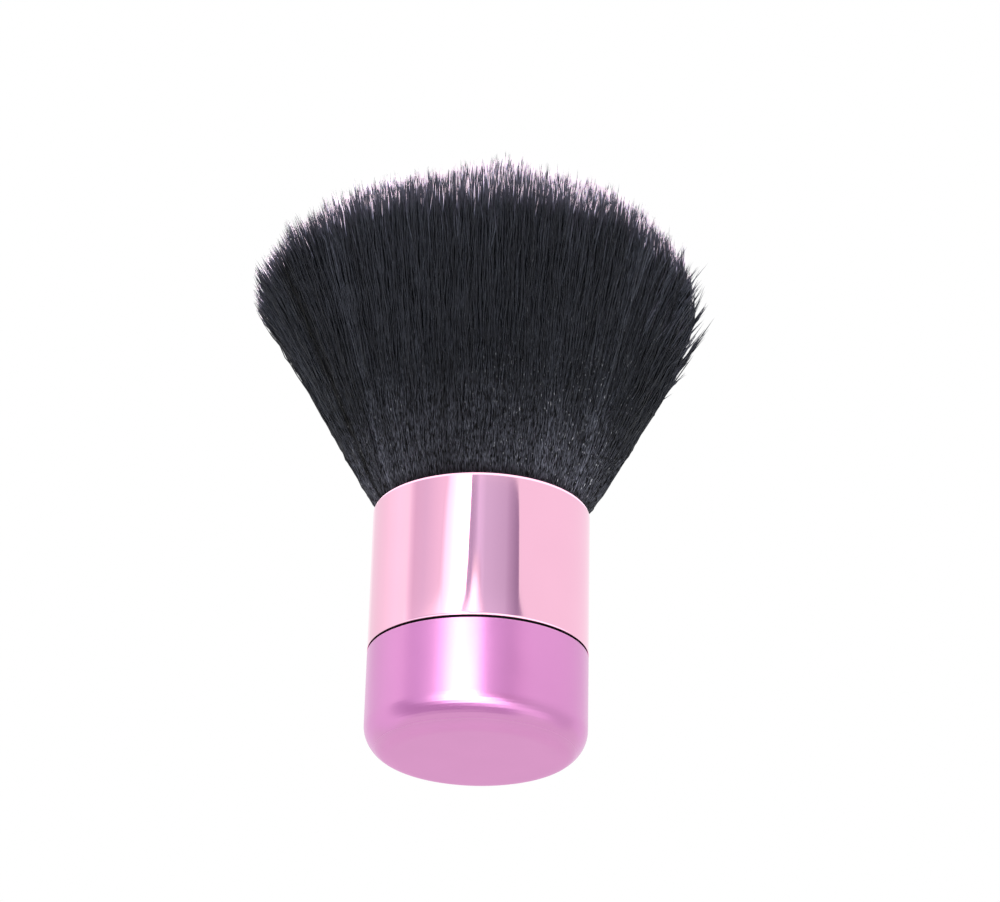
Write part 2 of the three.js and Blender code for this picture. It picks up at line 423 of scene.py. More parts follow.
@dataclass(frozen=True)
class NylonFilament(Finish):
    """Black nylon filament with a tapered tip that is pale on some strands and dark on others.

    The map's U differs from strand to strand, and its V runs from root to tip. An attribute gives
    each strand its shade, part of it painted light and shade, how much painted light its place
    catches, and its pale tip's length.
    """

    name: str = "nylon filament"
    # Its colours from foot to dark tip, and those that a pale tip runs through to its point. The
    # near-black foot is painted shade where the filaments leave the mouth, and the root's lighter grey
    # over the darker middle is painted light and shade on the nylon's own near-black.
    body: tuple[tuple[float, str], ...] = (
        (0.0, "020203"), (0.05, "3b3c44"), (0.38, "24262c"), (0.925, "282a31"), (1.0, "2e2b36")
    )
    pale_tip: tuple[tuple[float, str], ...] = ((0.0, "7d7ea2"), (0.5, "b4b0cb"), (1.0, "fee6f4"))
    full_pale: float = 0.3
    glint: str = "eef0fa"
    # The crimped lower part, where the dashes are strongest and where the painted glints and painted light
    # go.
    crimped: tuple[float, float] = (0.12, 0.62)
    upper_crimp: float = 0.1
    roughness: float = 0.45
    specular: float = 0.12
    ior: float = 1.53
    strand_spread: float = 0.11
    # Dashes are random tone, and where they are strongest, in the crimped lower part, painted sheen too.
    dash_spread: tuple[float, float] = (0.2, 0.98)
    dash_length: float = 0.9 * MM
    dash_columns: float = 500.0
    mottle_spread: float = 0.14
    mottle_size: float = 8.0 * MM
    glint_length: float = 1.0 * MM
    glint_columns: float = 810.0
    glint_peaks: tuple[float, float] = (0.72, 0.81)
    filament_length: float = 46.0 * MM

    def noise_along(self, tree: NodeTree, spot: NodeSocket, columns: float, length: float) -> NodeSocket:
        """Adds a noise that differs from strand to strand and changes along each one.

        Args:
            tree: the node tree that gets it.
            spot: the place on the strand's map.
            columns: how far apart the strands' noises lie.
            length: the real length of a spot.

        Returns:
            The noise.
        """
        scale = (columns, self.filament_length / length, 0.0)
        spot = add_node(tree, "VectorMath", (spot, scale), operation="MULTIPLY")[0]
        spots = {"Vector": spot, "Scale": 1.0, "Detail": 1.0}
        return add_node(tree, "TexNoise", spots, noise_dimensions="2D")["Fac"]

    def colour(self, tree: NodeTree, along: NodeSocket, pale: NodeSocket) -> NodeSocket:
        """Adds the colour from root to tip.

        Args:
            tree: the node tree that gets it.
            along: how far along the strand a place lies.
            pale: the share of the strand's length that is pale, at its tip.

        Returns:
            The colour.
        """
        start, full = (
            add_node(tree, "Math", (pale, -share, 1.0), operation="MULTIPLY_ADD")[0]
            for share in (1.0, self.full_pale)
        )
        share = add_node(tree, "MapRange", (along, start, full))[0]
        body, tip = (
            add_node(tree, "ValToRGB", (place,), [(at, linear(shade)) for at, shade in shades])[0]
            for place, shades in ((along, self.body), (share, self.pale_tip))
        )
        return add_node(tree, "Mix", {0: share, 6: body, 7: tip}, data_type="RGBA")[2]

    def shader(self, tree: NodeTree) -> NodeSocket:
        """Adds near-black nylon in short dashes of slightly different shade.

        Its dashes are partly painted sheen. It has small painted glints where it is crimped, and painted
        light where its place catches light, both in its lower half, and is pale near its tip.

        Args:
            tree: the node tree that gets it.

        Returns:
            The shader's output.
        """
        spot = add_node(tree, "UVMap", uv_map=STRAND_MAP)[0]
        along = add_node(tree, "SeparateXYZ", (spot,))["Y"]
        strand = add_node(tree, "Attribute", attribute_name=STRAND_FACTS)["Vector"]
        own_shade, caught, pale = add_node(tree, "SeparateXYZ", (strand,))
        run = (along, *self.crimped, 1.0, self.upper_crimp)
        low = add_node(tree, "MapRange", run, interpolation_type="SMOOTHSTEP")[0]
        dash = self.noise_along(tree, spot, self.dash_columns, self.dash_length)
        dash = add_node(tree, "MapRange", (dash, *NOISE_SPAN, -1.0, 1.0))[0]
        reach = add_node(tree, "MapRange", (low, 0.0, 1.0, *self.dash_spread))[0]
        dashes, lift = (
            add_node(tree, "Math", (amount, span, 1.0), operation="MULTIPLY_ADD")[0]
            for amount, span in ((dash, reach), (caught, low))
        )
        place_on = add_node(tree, "TexCoord")["Object"]
        patches = {"Vector": place_on, "Scale": 1.0 / self.mottle_size, "Detail": 1.0}
        patch = add_node(tree, "TexNoise", patches)["Fac"]
        strand_shade, mottle = (
            add_node(tree, "MapRange", (value, *ends, 1.0 - amount, 1.0 + amount), clamp=clamp)[0]
            for value, ends, amount, clamp in (
                (own_shade, (0.0, 1.0), self.strand_spread, False),
                (patch, NOISE_SPAN, self.mottle_spread, True),
            )
        )
        colour = self.colour(tree, along, pale)
        for factor in (dashes, strand_shade, mottle, lift):
            scaled = {0: colour, "Scale": factor}
            colour = add_node(tree, "VectorMath", scaled, operation="SCALE")[0]
        crimp = self.noise_along(tree, spot, self.glint_columns, self.glint_length)
        share = add_node(tree, "MapRange", (crimp, *self.glint_peaks))[0]
        share = add_node(tree, "Math", (share, low), operation="MULTIPLY")[0]
        share = add_node(tree, "Math", (share, caught), operation="MULTIPLY", use_clamp=True)[0]
        lit = {0: share, 6: colour, 7: linear(self.glint)}
        surface = {
            "Base Color": add_node(tree, "Mix", lit, data_type="RGBA")[2],
            "Roughness": self.roughness,
            "IOR": self.ior,
            "Specular IOR Level": self.specular,
        }
        return add_node(tree, "BsdfPrincipled", surface)[0]


# Satin anodised aluminium is blasted before it is dyed, so its highlights spread softly. The
# real grain is too fine to show, so it is drawn a few times as coarse.
SATIN_ALUMINIUM = AnodisedAluminium(
    "satin anodised aluminium",
    "d891c9",
    roughness=0.26,
    grain=0.003 * MM,
    grain_size=0.25 * MM,
    matte_edge=(0.15 * MM, 1.1 * MM),
)
# Polished anodised aluminium mirrors the room in its dye's colour.
POLISHED_ALUMINIUM = AnodisedAluminium(
    "polished anodised aluminium",
    "fbc1db",
    roughness=0.05,
    grain=0.0002 * MM,
    grain_size=0.4 * MM,
    wobble=0.004 * MM,
    wobble_size=9.0 * MM,
)
# ABS is a tough moulding plastic: black here, with a dull sheen where it shows at the seam.
ABS = PlainFinish("moulded ABS", "0a090b", "060507", roughness=0.7, specular=0.1)
# Filaments packed tight inside the tuft show only as a dull black.
PACKED_NYLON = PlainFinish("packed nylon filament", "24272e", "1c1f25", roughness=0.7, specular=0.1)
# Polypropylene left undyed is milky.
POLYPROPYLENE = PlainFinish("natural polypropylene", "e6e3da", "dcd8cd", roughness=0.45)
# Zinc plating gives turned steel a cool, faintly mottled grey.
ZINC_PLATE = PlainFinish("zinc-plated steel", "b9bcc0", "a5a9af", roughness=0.35, metallic=1.0)
# Closed-cell foam is matt, with fine pores.
FOAM = PlainFinish("closed-cell foam", "8d8f92", "7c7e81", roughness=0.9, mottle_size=0.4 * MM)
# Cured resin is amber and glossy.
RESIN = PlainFinish("cured epoxy resin", "c9a86a", "b89555", roughness=0.2, mottle_size=3.0 * MM)
# Waxed thread is matt, its turns a few tenths of a millimetre apart.
THREAD = PlainFinish(
    "waxed cotton thread", "d8cfb8", "b9ae93", roughness=0.8, mottle_size=0.5 * MM, relief=0.05 * MM
)
# Cured adhesive is milky and slightly glossy.
ADHESIVE = PlainFinish("cured adhesive", "d9d6cf", "cbc7be", roughness=0.35)


# ---- Handle ----


@dataclass
class Handle:
    """The base cap and the ferrule, glued over a core that shows as a dark line between them."""

    wall: float = 0.5 * MM
    cap_floor: float = 0.6 * MM
    cap_edge: float = 4.2 * MM
    rim: float = 0.09 * MM
    skin: float = 0.24 * MM
    reach: float = 0.09 * MM
    flare: float = 0.03 * MM
    flare_height: float = 0.15 * MM
    roll: tuple[tuple[float, float], ...] = ((0.0, 0.46 * MM), (0.04 * MM, 0.2 * MM), (0.2 * MM, 0.0))
    lip_depth: float = 0.4 * MM
    lip_thickness: float = 0.5 * MM
    steps: int = 192
    cap_arc: int = 16
    rim_arc: int = 8
    hidden: dict[str, PlainFinish] = field(
        default_factory=lambda: {
            "handle_core": ABS,
            "cap_glue_band": ADHESIVE,
            "ferrule_glue_band": ADHESIVE,
            "ballast_pad": FOAM,
            "ballast_slug": ZINC_PLATE,
            "tuft_collar": POLYPROPYLENE,
            "root_resin": RESIN,
            "root_binding": THREAD,
        }
    )

    def build_cap(self) -> Object:
        """Turns the closed base cap.

        Returns:
            A cup with a flat base, a wide rounded edge and a rim whose skin stands a little
            over the core's flange, which is set back.
        """
        low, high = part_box("base_cap")
        radius = high.x
        bore = radius - self.wall
        floor = low.z + self.cap_floor
        corners = [
            Corner(0.0, low.z),
            Corner(radius, low.z, self.cap_edge),
            Corner(radius, high.z + self.reach, self.rim),
            Corner(radius - self.skin, high.z + self.reach, self.rim / 2.0),
            Corner(radius - self.skin, high.z),
            Corner(bore, high.z, self.rim / 2.0),
            Corner(bore, floor, self.cap_edge - self.wall),
            Corner(0.0, floor),
        ]
        return turned("satin_base_cap", corners, closed=False, arc=self.cap_arc, steps=self.steps)

    def build_ferrule(self) -> Object:
        """Turns the open ferrule.

        Returns:
            A thin tube with a lower edge that turns out by a hair and a mouth rolled inwards.
        """
        low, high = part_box("ferrule")
        radius = high.x
        bore = radius - self.wall
        lip_bore = bore - self.lip_depth
        lip_under = high.z - self.lip_thickness
        corners = [
            Corner(bore, low.z, self.rim / 2.0),
            Corner(radius - self.skin, low.z),
            Corner(radius - self.skin, low.z - self.reach, self.rim / 2.0),
            Corner(radius + self.flare, low.z - self.reach, self.rim / 2.0),
            Corner(radius, low.z + self.flare_height, self.rim),
            *(Corner(radius - inward, high.z - down, self.rim) for inward, down in self.roll),
            Corner(lip_bore, high.z, self.rim / 2.0),
            Corner(lip_bore, lip_under, self.rim / 2.0),
            Corner(bore, lip_under),
        ]
        return turned("polished_ferrule", corners, closed=True, arc=self.rim_arc, steps=self.steps)

    def dress(self, cap: Object, ferrule: Object) -> None:
        """Gives the shells and the solids inside them their finishes.

        Args:
            cap: the base cap.
            ferrule: the ferrule.
        """
        for shell, finish, slot, node in (
            (cap, SATIN_ALUMINIUM, "satin_cap", "base_cap"),
            (ferrule, POLISHED_ALUMINIUM, "polished_ferrule", "ferrule"),
        ):
            shell.data.materials.append(finish.material())
            place(shell, slot, node)
        made = {finish.name: finish.material() for finish in self.hidden.values()}
        for node, finish in self.hidden.items():
            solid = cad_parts[node]
            solid.data.materials.clear()
            solid.data.materials.append(made[finish.name])


# ---- Tuft ----


def bell(away: ndarray, spread: float) -> ndarray:
    """A bell curve: 1 in its middle, and less as its spread is passed."""
    return np.exp(-((away / spread) ** 2))


def degrees_from(angle: ndarray, middle: float) -> ndarray:
    """How many degrees angles in radians lie from a middle, the shorter way round."""
    return (np.degrees(angle) - middle + 180.0) % 360.0 - 180.0


@dataclass(frozen=True)
class Bundle:
    """A share of the tuft's filaments that is one piece.

    Inner and outer say where its filaments stand, from 0 on the axis to 1 on the flared side, and
    sector gives the degrees that it fills, counted from +X. Start is the part of a filament's
    length that is hidden inside the tuft and left out. Stray is the share of filaments that are
    short and stand out at the side, and cut is how much the shortest of them lack.
    """

    name: str
    node: str | None
    inner: float
    outer: float
    sector: tuple[float, float]
    count: int
    start: float
    rings: int
    stray: float = 0.0
    cut: float = 0.0


@dataclass(frozen=True)
class Lobe:
    """A place where the hand-cut tuft is longer or shorter: its middle, its spread and by how much."""

    x: float
    y: float
    spread: float
    rise: float


@dataclass(frozen=True)
class Lock:
    """A lock on the tuft's side that is painted lit, with a positive shade, or painted dark where it
    parts, with a negative one: its middle and spread in degrees.
    """

    angle: float
    spread: float
    shade: float


@dataclass
class Strands:
    """What a bundle's filaments are like: arrays with a row for each of them.

    Share is a filament's distance from the axis, 1 at the flared side. Angle is where it stands
    round the axis, from +X and in radians, and out the level direction that this is. Root and tip
    are its ends, lean is how far its tip is drawn aside, and mark its clump's random number. Dark
    is true in dark clumps, and stray is 1 on strays and 0 elsewhere.
    """

    share: ndarray
    angle: ndarray
    out: ndarray
    root: ndarray
    tip: ndarray
    lean: ndarray
    mark: ndarray
    dark: ndarray
    stray: ndarray

    def sides(self) -> tuple[ndarray, ...]:
        """How far each filament stands to the left, and how far to the right, from 0 to 1."""
        return tuple(np.clip(side * self.out[:, 0], 0.0, 1.0) ** 2 for side in (-1.0, 1.0))


@dataclass(frozen=True)
class Clumps:
    """How tips draw together into clumps.

    Spacing is the distance between clumps, and turn the angle of their grid, so that it lines up
    with no view. Pull gives the loosest and the tightest clump's share of the way to its middle,
    and ragged how much the clumps' lengths differ. Jitter is how far a clump's middle strays from
    the grid's, and half the number of cells on each side of the axis.
    """

    spacing: float
    turn: float
    pull: tuple[float, float]
    ragged: float
    jitter: float = 0.45
    half: int = 80

    def draw(self, plan: ndarray, rng: Generator) -> tuple[ndarray, ndarray, ndarray]:
        """Finds each tip's clump, on a jittered grid.

        Args:
            plan: x and y of the tips.
            rng: the source of the jitter, the same for every bundle.

        Returns:
            How far each tip is drawn aside, its clump's two random marks, from 0 to 1, and how
            much longer or shorter its clump is.
        """
        cells = (2 * self.half, 2 * self.half)
        jitter = rng.uniform(-self.jitter, self.jitter, (*cells, 2))
        tight = rng.random(cells)
        mark = rng.random((*cells, 2))
        longer = rng.normal(0.0, self.ragged, cells)
        cos, sin = math.cos(math.radians(self.turn)), math.sin(math.radians(self.turn))
        turned_plan = plan @ np.array([[cos, -sin], [sin, cos]])
        cell = np.floor(turned_plan / self.spacing).astype(int)
        spot = tuple(np.clip(cell + self.half, 0, 2 * self.half - 1).T)
        aside = (cell + 0.5 + jitter[spot]) * self.spacing - turned_plan
        loosest, tightest = self.pull
        pull = loosest + (tightest - loosest) * tight[spot]
        return pull[:, None] * aside @ np.array([[cos, sin], [-sin, cos]]), mark[spot], longer[spot]


@dataclass
class Tuft:
    """The flared tuft: filaments that leave the mouth upright and end on a ragged dome."""

    seed: int = 11
    # The form of the whole tuft.
    mouth_radius: float = 13.6 * MM
    shoulder_radius: float = 32.2 * MM
    shoulder_height: float = 33.5 * MM
    dome_rise: float = 16.1 * MM
    dome_fullness: float = 0.75
    gather: float = 19.0
    reach: float = 33.8 * MM
    inside: float = 4.0 * MM
    lobes: tuple[Lobe, ...] = (
        Lobe(-28.0 * MM, -12.0 * MM, 5.0 * MM, -0.7 * MM),
        Lobe(-8.0 * MM, -21.0 * MM, 5.0 * MM, -1.0 * MM),
        Lobe(1.0 * MM, -21.0 * MM, 4.5 * MM, 0.8 * MM),
        Lobe(18.0 * MM, -19.5 * MM, 6.0 * MM, 0.75 * MM),
        Lobe(27.0 * MM, -15.0 * MM, 6.0 * MM, 0.1 * MM),
        Lobe(31.0 * MM, -7.0 * MM, 5.0 * MM, 0.3 * MM),
    )
    # How its side swells over the mouth and spreads at the top, to the left and the right.
    bulge: float = 0.25 * MM
    bulge_reach: float = 0.04
    belly: float = 0.45 * MM
    right_belly: float = 0.2 * MM
    left_spread: float = 1.8 * MM
    right_spread: float = -2.8 * MM
    spread_curve: int = 6
    inward_fade: int = 4
    # The form of a filament.
    filament_radius: float = 0.09 * MM
    inner_radius: float = 0.12 * MM
    taper: float = 0.03
    taper_curve: float = 0.6
    wave: float = 0.2 * MM
    wave_turns: tuple[float, float] = (1.5, 5.0)
    crimp: float = 0.08 * MM
    calm_foot: float = 0.1
    foot_crowding: float = 1.2
    # How the tips clump and how ragged they are.
    fine: Clumps = Clumps(0.55 * MM, 27.0, (0.5, 0.97), 0.5 * MM)
    coarse: Clumps = Clumps(3.3 * MM, 52.0, (0.0, 0.12), 0.2 * MM)
    clump_curve: int = 5
    own_ragged: float = 0.25 * MM
    dark_clumps: float = 0.2
    loose_dark: float = 0.1
    dark_longer: float = 0.3 * MM
    longer_share: float = 0.02
    longest: float = 0.9 * MM
    # Strays: how many of them keep to clumps, how short they are and how far they stand out. Their
    # splay has nothing to do with their cut, since it comes from what a shuffle leaves of their lot.
    clumped_strays: float = 0.5
    least_cut: float = 1.8 * MM
    splay: tuple[float, float] = (0.36 * MM, 1.8 * MM)
    splay_shuffle: float = 7.0
    # Pale tips, partly the filaments' own colour and partly painted light through the thin tips, and
    # the front, before the crest that makes the outline, where most are left dark.
    streak_share: float = 0.42
    streak_length: tuple[float, float] = (0.025, 0.1)
    tip_length: tuple[float, float] = (0.02, 0.038)
    no_pale: float = 0.001
    crest_width: float = 35.0 * MM
    crest_depth: float = 21.5 * MM
    front_dark_tips: tuple[float, float] = (1.0 * MM, 4.5 * MM)
    front_dark_streaks: tuple[float, float] = (3.5 * MM, 14.0 * MM)
    front_streak_loss: float = 0.85
    rim_starts: tuple[float, float] = (0.9, 0.96)
    rim_tip_loss: float = 0.45
    rim_side_tip_loss: float = 0.6
    # Shade that differs at random from clump to clump and from filament to filament, and painted light
    # and shade: at the sides, on deeper filaments, on the locks and where the light is caught.
    clump_shade: float = 0.5
    side_light: tuple[float, float] = (1.3, 0.6)
    depth_light: float = 18.0 / MM
    lit_depth: float = 0.5 * MM
    lock_count: int = 54
    lock_spread: float = 2.1
    front_locks: float = 0.3
    locks: tuple[Lock, ...] = (
        Lock(206.0, 1.5, -2.2),
        Lock(211.5, 1.2, 2.4),
        Lock(226.0, 1.0, 2.0),
        Lock(313.0, 0.9, 2.6),
    )
    bright_side: float = -52.0
    bright_spread: float = 28.0
    bright: float = 0.75
    least_bright: float = 0.2
    bright_locks: int = 90
    bright_lock_spread: float = 0.12
    most_bright: float = 1.5
    map_width: float = 0.0006
    # The dark mass behind the filaments, as shares of the tuft's own sizes.
    mass_foot: float = 0.96
    mass_height: float = 0.82
    mass_width: float = 0.9
    mass_sides: int = 96
    mass_steps: tuple[float, ...] = (0.92, 0.85, 0.7, 0.5, 0.25, 0.0)
    bundles: tuple[Bundle, ...] = (
        Bundle("tuft_middle", "bristles_middle", 0.0, 0.50, FULL_SECTOR, 7200, 0.5, 5),
        Bundle("tuft_inner_ring", "bristles_inner_ring", 0.50, 0.72, FULL_SECTOR, 7200, 0.5, 5),
        Bundle("tuft_outer_ring", "bristles_outer_ring", 0.72, 0.87, FULL_SECTOR, 7200, 0.45, 5),
        Bundle("tuft_edge_ring", "bristles_edge_ring", 0.87, 0.96, FULL_SECTOR, 6400, 0.4, 5),
        Bundle("tuft_flare_front", None, 0.945, 1.0, (225.0, 315.0), 2100, 0.0, 16, 0.05, 4.0 * MM),
        Bundle("tuft_flare_right", None, 0.945, 1.0, (-45.0, 45.0), 2100, 0.0, 16, 0.19, 12.0 * MM),
        Bundle("tuft_flare_back", None, 0.945, 1.0, (45.0, 135.0), 2100, 0.0, 16, 0.08, 6.0 * MM),
        Bundle("tuft_flare_left", None, 0.945, 1.0, (135.0, 225.0), 2100, 0.0, 16),
    )
    mouth: float = field(init=False)

    def __post_init__(self) -> None:
        """Takes the mouth's height from the ferrule."""
        self.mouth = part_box("ferrule")[1].z

    def dome(self, share: ndarray) -> ndarray:
        """Height of the dome of tips above the mouth, at shares of the way to the shoulder."""
        level = np.clip(1.0 - share**2, 0.0, 1.0)
        return self.shoulder_height + self.dome_rise * level**self.dome_fullness

    def lobe_rise(self, plan: ndarray) -> ndarray:
        """How much longer or shorter the filaments are that end over each place.

        Args:
            plan: x and y of the tips.

        Returns:
            The length over or under the usual one.
        """
        rise = np.zeros(len(plan))
        for lobe in self.lobes:
            away = np.hypot(plan[:, 0] - lobe.x, plan[:, 1] - lobe.y)
            rise += lobe.rise * bell(away, lobe.spread)
        return rise

    def catch(self, angle: ndarray, rng: Generator) -> ndarray:
        """How much painted light each filament's place catches, most of it on one side of the front.

        Args:
            angle: where round the tuft the filaments stand, from +X, in radians.
            rng: the source of the differences from lock to lock.

        Returns:
            The share of light on each filament, over what all of them get.
        """
        count = self.bright_locks
        locks = rng.normal(0.0, self.bright_lock_spread, count)
        own_lock = locks[np.floor(angle / FULL_TURN * count).astype(int) % count]
        light = self.bright * bell(degrees_from(angle, self.bright_side), self.bright_spread)
        light += self.least_bright
        return np.clip(light + own_lock, 0.0, self.most_bright)

    def lock_light_and_shade(self, angle: ndarray, rng: Generator) -> ndarray:
        """The painted light and shade of the locks that run up the side of the tuft, most of it on the
        left.

        Args:
            angle: where round the tuft the filaments stand, from +X, in radians.
            rng: the source of the plain locks' shades.

        Returns:
            The shade over or under the usual one.
        """
        count = self.lock_count
        shades = rng.normal(0.0, self.lock_spread, count)
        spot = angle / FULL_TURN % 1.0 * count
        shade = np.interp(spot, np.arange(count + 1), np.append(shades, shades[0]))
        shade *= self.front_locks + np.clip(-np.cos(angle), 0.0, 1.0) ** 2
        for lock in self.locks:
            shade += lock.shade * bell(degrees_from(angle, lock.angle), lock.spread)
        return shade

    def pale_lengths(self, strands: Strands, rng: Generator) -> ndarray:
        """How much of each filament is pale at its tip: a little, or more on the odd one.

        The pale tips are partly the filaments' own colour and partly painted light. Most are left dark on
        the side that faces the camera, before the crest, and fewer are pale on the outermost filaments,
        fewest at the sides.

        Args:
            strands: the filaments.
            rng: the source of the differences from filament to filament.

        Returns:
            The pale share of each filament's length.
        """
        count = len(strands.tip)
        x, y = strands.tip[:, 0], strands.tip[:, 1]
        crest = self.crest_depth * np.sqrt(np.clip(1.0 - (x / self.crest_width) ** 2, 0.0, 1.0))
        front_tip_loss = np.interp(-y - crest, self.front_dark_tips, (0.0, 1.0))
        front_streak_loss = np.interp(-y - crest, self.front_dark_streaks, (0.0, self.front_streak_loss))
        rim = np.interp(strands.share, self.rim_starts, (0.0, self.rim_tip_loss))
        rim = 1.0 - rim * (1.0 + self.rim_side_tip_loss * (x / self.shoulder_radius) ** 2)
        streaked = rng.random(count) < self.streak_share * rim * (1.0 - front_streak_loss)
        tipped = rng.random(count) < rim * (1.0 - front_tip_loss)
        long = rng.uniform(*self.streak_length, count)
        short = rng.uniform(*self.tip_length, count)
        pale = np.where(streaked, long, np.where(tipped, short, self.no_pale))
        pale[strands.dark | (strands.stray > 0.0)] = self.no_pale
        return pale

    def strand(self, rings: int) -> BMesh:
        """Makes one straight strand of unit radius, its sections at whole heights.

        Args:
            rings: level sections under the tip.

        Returns:
            A three-sided tube that ends in a point at the height of rings.
        """
        bm = bmesh.new()
        bmesh.ops.create_circle(bm, segments=3, radius=1.0, cap_ends=False)
        edges = bm.edges[:]
        for level in range(1, rings + 1):
            grown = bmesh.ops.extrude_edge_only(bm, edges=edges)["geom"]
            verts = [item for item in grown if isinstance(item, BMVert)]
            edges = [item for item in grown if isinstance(item, BMEdge)]
            bmesh.ops.translate(bm, verts=verts, vec=(0.0, 0.0, 1.0))
            if level == rings:
                bmesh.ops.pointmerge(bm, verts=verts, merge_co=(0.0, 0.0, float(rings)))
        bmesh.ops.recalc_face_normals(bm, faces=bm.faces[:])
        return bm

    def copies(self, bundle: Bundle) -> tuple[Object, ndarray]:
        """Copies a strand as often as a bundle needs, by doubling.

        Args:
            bundle: the bundle.

        Returns:
            The piece, its copies all in one place, and one copy's vertices.
        """
        bm = self.strand(bundle.rings)
        single = np.array([vert.co for vert in bm.verts])
        sizes = [len(bm.verts), len(bm.edges), len(bm.faces)]
        made = 1
        while made < bundle.count:
            more = min(made, bundle.count - made)
            verts, edges, faces = (size * more for size in sizes)
            bmesh.ops.duplicate(bm, geom=bm.verts[:verts] + bm.edges[:edges] + bm.faces[:faces])
            made += more
        return object_from(bundle.name, bm), single

    def lay_out(self, bundle: Bundle, rng: Generator, shared: Generator) -> Strands:
        """Sets where a bundle's filaments stand and end.

        Args:
            bundle: the bundle.
            rng: the bundle's own random numbers.
            shared: the random numbers that all bundles draw alike.

        Returns:
            The filaments.
        """
        count = bundle.count
        share = np.sqrt(rng.uniform(bundle.inner**2, bundle.outer**2, count))
        angle = np.radians(rng.uniform(*bundle.sector, count))
        out = np.stack([np.cos(angle), np.sin(angle), np.zeros(count)], 1)
        root_angle = angle - math.radians(self.gather) * np.sin(2.0 * angle)
        root = np.stack([np.cos(root_angle), np.sin(root_angle), np.zeros(count)], 1)
        root *= (share * self.mouth_radius)[:, None]
        root[:, 2] = self.mouth
        tip = out * (share * self.shoulder_radius)[:, None]
        tip[:, 2] = self.mouth + self.dome(share)
        lean = np.zeros((count, 3))
        fine_lean, fine_mark, fine_longer = self.fine.draw(tip[:, :2], shared)
        coarse_lean, coarse_mark, coarse_longer = self.coarse.draw(tip[:, :2], shared)
        lean[:, :2] = fine_lean + coarse_lean
        longer = self.lobe_rise(tip[:, :2]) + fine_longer + coarse_longer
        longer -= np.abs(rng.normal(0.0, self.own_ragged, count))
        darkness = (1.0 - self.loose_dark) * fine_mark[:, 0] + self.loose_dark * rng.random(count)
        dark = darkness < self.dark_clumps
        longer += dark * self.dark_longer
        longer += (rng.random(count) < self.longer_share) * rng.uniform(0.0, self.longest, count)
        lot = np.where(rng.random(count) < self.clumped_strays, fine_mark[:, 1], rng.random(count))
        stray = (lot < bundle.stray) * 1.0
        lot /= bundle.stray or 1.0
        longer -= stray * (self.least_cut + (bundle.cut - self.least_cut) * lot)
        splay = np.interp(self.splay_shuffle * lot % 1.0, (0.0, 1.0), self.splay)
        lean += out * (stray * ((1.0 - share) * self.shoulder_radius + splay))[:, None]
        length = np.linalg.norm(tip - root, axis=1)
        tip = root + (tip - root) * (1.0 + longer / length)[:, None]
        return Strands(share, angle, out, root, tip, lean, coarse_mark[:, 0], dark, stray)

    def outward(self, strands: Strands, along: ndarray) -> ndarray:
        """How far the side of the tuft swells over a straight line from root to tip.

        Args:
            strands: the filaments.
            along: how far along a filament each vertex of a copy lies.

        Returns:
            The swell, with a row for each filament and a column for each vertex.
        """
        arch = 4.0 * along * (1.0 - along)
        swell = self.bulge * (1.0 - np.exp(-along / self.bulge_reach)) * (1.0 - along)
        swell += self.belly * arch
        left, right = strands.sides()
        spread = self.left_spread * left + self.right_spread * right * (1.0 - strands.stray)
        outward = swell[None, :] + spread[:, None] * along[None, :] ** self.spread_curve
        outward += (self.right_belly * right)[:, None] * arch[None, :]
        return outward * strands.share[:, None] ** self.inward_fade

    def build_bundle(self, bundle: Bundle) -> Object:
        """Makes one bundle of filaments.

        Args:
            bundle: the bundle.

        Returns:
            The piece, with its map and its strands' facts.
        """
        rng = np.random.default_rng(self.seed + self.bundles.index(bundle))
        shared = np.random.default_rng(self.seed)
        count = bundle.count
        piece, single = self.copies(bundle)
        strands = self.lay_out(bundle, rng, shared)
        outermost = bundle.start == 0.0
        level = single[:, 2] / bundle.rings
        along = bundle.start + (1.0 - bundle.start) * level
        radius = self.inner_radius
        if outermost:
            step = 1.0 / bundle.rings
            along = np.clip((level - step) / (1.0 - step), 0.0, 1.0) ** self.foot_crowding
            radius = self.filament_radius
        run = strands.tip - strands.root
        ahead = run / np.linalg.norm(run, axis=1)[:, None]
        side = np.cross(ahead, strands.out)
        side /= np.linalg.norm(side, axis=1)[:, None]
        lift = np.cross(side, ahead)
        spin = rng.uniform(0.0, FULL_TURN, count)
        corner = (single[:, 0] + 1j * single[:, 1])[None, :] * np.exp(1j * spin)[:, None]
        thick = radius * np.clip((1.0 - along) / self.taper, 0.0, 1.0) ** self.taper_curve
        phase = rng.uniform(0.0, FULL_TURN, (2, count, 1))
        turns = rng.uniform(*self.wave_turns, (2, count, 1))
        calm = np.clip(along / self.calm_foot, 0.0, 1.0)
        swing = self.wave * calm * np.sin(phase + turns * FULL_TURN * along[None, None, :])
        kinks = rng.normal(0.0, self.crimp, (2, count, bundle.rings + 1))
        swing += calm * kinks[:, :, np.rint(single[:, 2]).astype(int)]
        places = (
            strands.root[:, None, :]
            + along[None, :, None] * run[:, None, :]
            + (along**self.clump_curve)[None, :, None] * strands.lean[:, None, :]
            + self.outward(strands, along)[..., None] * strands.out[:, None, :]
            + (corner.real * thick[None, :] + swing[0])[..., None] * side[:, None, :]
            + (corner.imag * thick[None, :] + swing[1])[..., None] * lift[:, None, :]
        )
        if outermost:
            places[:, level == 0.0, 2] -= self.inside
        wide = np.hypot(places[..., 0], places[..., 1])
        places[..., :2] *= np.minimum(1.0, self.reach / np.maximum(wide, MM))[..., None]
        piece.data.vertices.foreach_set("co", places.astype(np.float32).ravel())
        deep = (1.0 - strands.share / bundle.outer)[:, None] * np.minimum(wide, self.reach) - swing[1]
        deep = np.clip(deep, 0.0, self.lit_depth)
